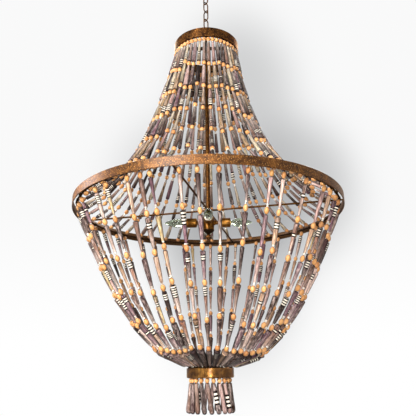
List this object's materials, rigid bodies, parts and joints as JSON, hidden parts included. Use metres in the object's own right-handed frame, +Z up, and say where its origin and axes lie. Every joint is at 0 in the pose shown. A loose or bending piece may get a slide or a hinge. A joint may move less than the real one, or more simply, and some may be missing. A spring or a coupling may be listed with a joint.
{
  "type": "beaded chandelier",
  "caption": "Basket chandelier of strung spine and wood beads on metal rings, with a light cluster inside and a bead tassel, hung by a chain from a round canopy.",
  "frame": {"origin": "middle of the flat ceiling face of the mounting bar and canopy, on the chandelier's axis", "axes": "+Z up along the chandelier's axis, +X and +Y along the arms of the light cluster; the picture looks along +Y"},
  "size_m": [0.6996, 0.6996, 1.251],
  "materials": {
    "plated_steel": "satin",
    "bronze_metal": "satin",
    "gold_brown_metal": "satin",
    "dark_iron": "satin",
    "aged_brass": "polished",
    "socket_porcelain": "matte",
    "bulb_base_brass": "polished",
    "clear_glass": "gloss",
    "spine_ceramic": "satin",
    "wood_bead": "satin"
  },
  "bodies": {
    "ceiling_mount": {"mounting_bar": "plated_steel", "canopy_nipple": "plated_steel", "canopy": "bronze_metal", "canopy_loop": "bronze_metal"},
    "chain_1": {"chain_link_1": "bronze_metal"},
    "chain_2": {"chain_link_2": "bronze_metal"},
    "chain_3": {"chain_link_3": "bronze_metal"},
    "chain_4": {"chain_link_4": "bronze_metal"},
    "chain_5": {"chain_link_5": "bronze_metal"},
    "fixture": {"fixture_loop": "bronze_metal", "stem": "bronze_metal", "top_locknut": "bronze_metal", "top_ring": "bronze_metal", "top_cross": "bronze_metal", "big_ring": "gold_brown_metal", "spokes": "dark_iron", "strand_hoop": "dark_iron", "hub_nipple": "plated_steel", "hub_body": "aged_brass", "hub_cap": "dark_iron", "finial": "bronze_metal", "socket_cover_1": "aged_brass", "socket_1": "socket_porcelain", "socket_cover_2": "aged_brass", "socket_2": "socket_porcelain", "socket_cover_3": "aged_brass", "socket_3": "socket_porcelain", "socket_cover_4": "aged_brass", "socket_4": "socket_porcelain", "bottom_ring": "aged_brass", "bottom_cross": "dark_iron", "tassel_hoop": "dark_iron", "upper_strands_1": "spine_ceramic", "upper_strands_2": "spine_ceramic", "upper_strands_3": "spine_ceramic", "upper_strands_4": "spine_ceramic", "lower_strands_1": "spine_ceramic", "lower_strands_2": "spine_ceramic", "lower_strands_3": "spine_ceramic", "lower_strands_4": "spine_ceramic"},
    "bulb_1": {"bulb_base_1": "bulb_base_brass", "bulb_glass_1": "clear_glass"},
    "bulb_2": {"bulb_base_2": "bulb_base_brass", "bulb_glass_2": "clear_glass"},
    "bulb_3": {"bulb_base_3": "bulb_base_brass", "bulb_glass_3": "clear_glass"},
    "bulb_4": {"bulb_base_4": "bulb_base_brass", "bulb_glass_4": "clear_glass"},
    "pendant_1": {"pendant_pair_1": "spine_ceramic"},
    "pendant_2": {"pendant_pair_2": "spine_ceramic"},
    "pendant_3": {"pendant_pair_3": "spine_ceramic"},
    "pendant_4": {"pendant_pair_4": "spine_ceramic"},
    "pendant_5": {"pendant_pair_5": "spine_ceramic"},
    "pendant_6": {"pendant_pair_6": "spine_ceramic"},
    "pendant_7": {"pendant_pair_7": "spine_ceramic"},
    "pendant_8": {"pendant_pair_8": "spine_ceramic"},
    "pendant_9": {"pendant_pair_9": "spine_ceramic"},
    "pendant_10": {"pendant_pair_10": "spine_ceramic"}
  },
  "joints": [
    {"name": "chain_1_swing", "type": "hinge", "parent": "ceiling_mount", "child": "chain_1", "pos_m": [0, 0, -0.05855], "axis": [0.7071, 0.7071, 0], "range_deg": [-12, 12]},
    {"name": "chain_2_swing", "type": "hinge", "parent": "chain_1", "child": "chain_2", "pos_m": [0, 0, -0.0886], "axis": [0.7071, -0.7071, 0], "range_deg": [-12, 12]},
    {"name": "chain_3_swing", "type": "hinge", "parent": "chain_2", "child": "chain_3", "pos_m": [0, 0, -0.1191], "axis": [0.7071, 0.7071, 0], "range_deg": [-12, 12]},
    {"name": "chain_4_swing", "type": "hinge", "parent": "chain_3", "child": "chain_4", "pos_m": [0, 0, -0.1496], "axis": [0.7071, -0.7071, 0], "range_deg": [-12, 12]},
    {"name": "chain_5_swing", "type": "hinge", "parent": "chain_4", "child": "chain_5", "pos_m": [0, 0, -0.1801], "axis": [0.7071, 0.7071, 0], "range_deg": [-12, 12]},
    {"name": "fixture_swing", "type": "hinge", "parent": "chain_5", "child": "fixture", "pos_m": [0, 0, -0.2106], "axis": [0.7071, -0.7071, 0], "range_deg": [-12, 12]},
    {"name": "bulb_1_screw_out", "type": "slide", "parent": "fixture", "child": "bulb_1", "axis": [1, 0, 0], "range_m": [0, 0.024]},
    {"name": "bulb_2_screw_out", "type": "slide", "parent": "fixture", "child": "bulb_2", "axis": [0, 1, 0], "range_m": [0, 0.024]},
    {"name": "bulb_3_screw_out", "type": "slide", "parent": "fixture", "child": "bulb_3", "axis": [-1, 0, 0], "range_m": [0, 0.024]},
    {"name": "bulb_4_screw_out", "type": "slide", "parent": "fixture", "child": "bulb_4", "axis": [0, -1, 0], "range_m": [0, 0.024]},
    {"name": "pendant_1_swing", "type": "hinge", "parent": "fixture", "child": "pendant_1", "pos_m": [0.0447, 0.01452, -1.1628], "axis": [0.309, -0.9511, 0], "range_deg": [-4, 12]},
    {"name": "pendant_2_swing", "type": "hinge", "parent": "fixture", "child": "pendant_2", "pos_m": [0.02763, 0.03802, -1.1628], "axis": [0.809, -0.5878, 0], "range_deg": [-4, 12]},
    {"name": "pendant_3_swing", "type": "hinge", "parent": "fixture", "child": "pendant_3", "pos_m": [0, 0.047, -1.1628], "axis": [1, 0, 0], "range_deg": [-4, 12]},
    {"name": "pendant_4_swing", "type": "hinge", "parent": "fixture", "child": "pendant_4", "pos_m": [-0.02763, 0.03802, -1.1628], "axis": [0.809, 0.5878, 0], "range_deg": [-4, 12]},
    {"name": "pendant_5_swing", "type": "hinge", "parent": "fixture", "child": "pendant_5", "pos_m": [-0.0447, 0.01452, -1.1628], "axis": [0.309, 0.9511, 0], "range_deg": [-4, 12]},
    {"name": "pendant_6_swing", "type": "hinge", "parent": "fixture", "child": "pendant_6", "pos_m": [-0.0447, -0.01452, -1.1628], "axis": [-0.309, 0.9511, 0], "range_deg": [-4, 12]},
    {"name": "pendant_7_swing", "type": "hinge", "parent": "fixture", "child": "pendant_7", "pos_m": [-0.02763, -0.03802, -1.1628], "axis": [-0.809, 0.5878, 0], "range_deg": [-4, 12]},
    {"name": "pendant_8_swing", "type": "hinge", "parent": "fixture", "child": "pendant_8", "pos_m": [0, -0.047, -1.1628], "axis": [-1, 0, 0], "range_deg": [-4, 12]},
    {"name": "pendant_9_swing", "type": "hinge", "parent": "fixture", "child": "pendant_9", "pos_m": [0.02763, -0.03802, -1.1628], "axis": [-0.809, -0.5878, 0], "range_deg": [-4, 12]},
    {"name": "pendant_10_swing", "type": "hinge", "parent": "fixture", "child": "pendant_10", "pos_m": [0.0447, -0.01452, -1.1628], "axis": [-0.309, -0.9511, 0], "range_deg": [-4, 12]}
  ]
}
